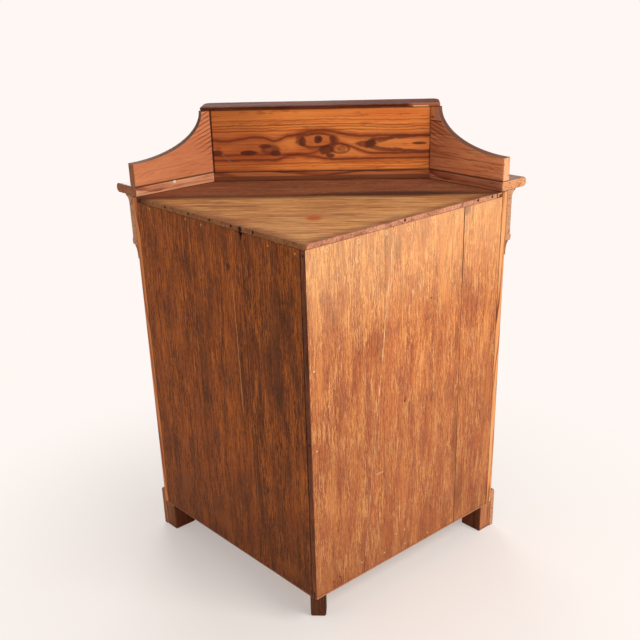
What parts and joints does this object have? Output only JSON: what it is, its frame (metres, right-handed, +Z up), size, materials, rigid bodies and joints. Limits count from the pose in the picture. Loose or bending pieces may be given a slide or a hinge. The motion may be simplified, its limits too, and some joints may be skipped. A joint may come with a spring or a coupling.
{
  "type": "corner cabinet",
  "caption": "floor-standing corner cabinet with canted returns, plank back walls, swept gallery, frieze drawer over a panelled door, shelf inside, plinth and squared rear foot",
  "frame": {"origin": "centre of the bounding box's base, on the floor", "axes": "+Z up, +X to the right of someone who faces the door, the front faces -Y and the rear corner +Y"},
  "size_m": [0.9716, 0.6696, 1.085],
  "materials": {
    "oak_back_right": "old oak, planed once and left bare, browned",
    "oak_back_left": "old oak, left bare, paler and worn",
    "oak_top": "weathered rough oak",
    "oak_foot": "dark oak, worn",
    "pine_gallery": "old orange pine behind, mahogany veneer in front",
    "pine_carcass": "bare pine, mellowed",
    "mahogany": "mahogany, french polished, dark red-brown",
    "brass": "dull old brass",
    "steel": "worn steel"
  },
  "bodies": {
    "carcass": {"back_plank_right_1": "oak_back_right", "back_plank_right_2": "oak_back_right", "back_plank_right_3": "oak_back_right", "back_plank_left_1": "oak_back_left", "back_plank_left_2": "oak_back_left", "back_plank_left_3": "oak_back_left", "top_board_1": "oak_top", "top_board_2": "oak_top", "top_board_3": "oak_top", "rear_foot": "oak_foot", "gallery_centre": "pine_gallery", "gallery_wing_right": "pine_gallery", "gallery_wing_left": "pine_gallery", "return_board_right": "pine_carcass", "return_board_left": "pine_carcass", "corner_post": "pine_carcass", "bottom_board": "pine_carcass", "shelf": "pine_carcass", "shelf_batten_right": "pine_carcass", "shelf_batten_left": "pine_carcass", "foot_block_right": "pine_carcass", "foot_block_left": "pine_carcass", "drawer_runner_right": "pine_carcass", "drawer_runner_left": "pine_carcass", "front_stile_right": "mahogany", "front_stile_left": "mahogany", "plinth_right": "mahogany", "plinth_front": "mahogany", "plinth_left": "mahogany", "frieze_right": "mahogany", "frieze_left": "mahogany", "cove_right": "mahogany", "cove_front": "mahogany", "cove_left": "mahogany", "neck_right": "mahogany", "neck_front": "mahogany", "neck_left": "mahogany", "moulded_top_right": "mahogany", "moulded_top_front": "mahogany", "moulded_top_left": "mahogany", "gallery_cap": "mahogany", "drawer_rail": "mahogany", "hinge_top_stile_leaf": "brass", "hinge_foot_stile_leaf": "brass"},
    "door": {"door_stile_right": "mahogany", "door_stile_left": "mahogany", "door_rail_top": "mahogany", "door_rail_foot": "mahogany", "door_panel": "mahogany", "hinge_top_door_leaf": "brass", "hinge_foot_door_leaf": "brass", "lock_case": "brass"},
    "drawer": {"drawer_facing": "mahogany", "drawer_front": "pine_carcass", "drawer_side_right": "pine_carcass", "drawer_side_left": "pine_carcass", "drawer_back": "pine_carcass", "drawer_bottom": "pine_carcass"},
    "key": {"key": "steel"},
    "bolt": {"lock_bolt": "brass"}
  },
  "joints": [
    {"name": "door_swing", "type": "hinge", "parent": "carcass", "child": "door", "pos_m": [-0.22625, -0.27188, 0.1156], "axis": [0, 0, -1], "range_deg": [0, 115]},
    {"name": "drawer_slide", "type": "slide", "parent": "carcass", "child": "drawer", "axis": [0, -1, 0], "range_m": [0, 0.24]},
    {"name": "key_turn", "type": "hinge", "parent": "door", "child": "key", "pos_m": [0.19545, -0.26808, 0.4335], "axis": [0, 1, 0], "range_deg": [0, 360]},
    {"name": "bolt_throw", "type": "slide", "parent": "door", "child": "bolt", "axis": [1, 0, 0], "range_m": [0, 0.009]}
  ],
  "couplings": [
    {"joint": "key_turn", "follows": "bolt_throw", "rad_per_m": 698}
  ]
}
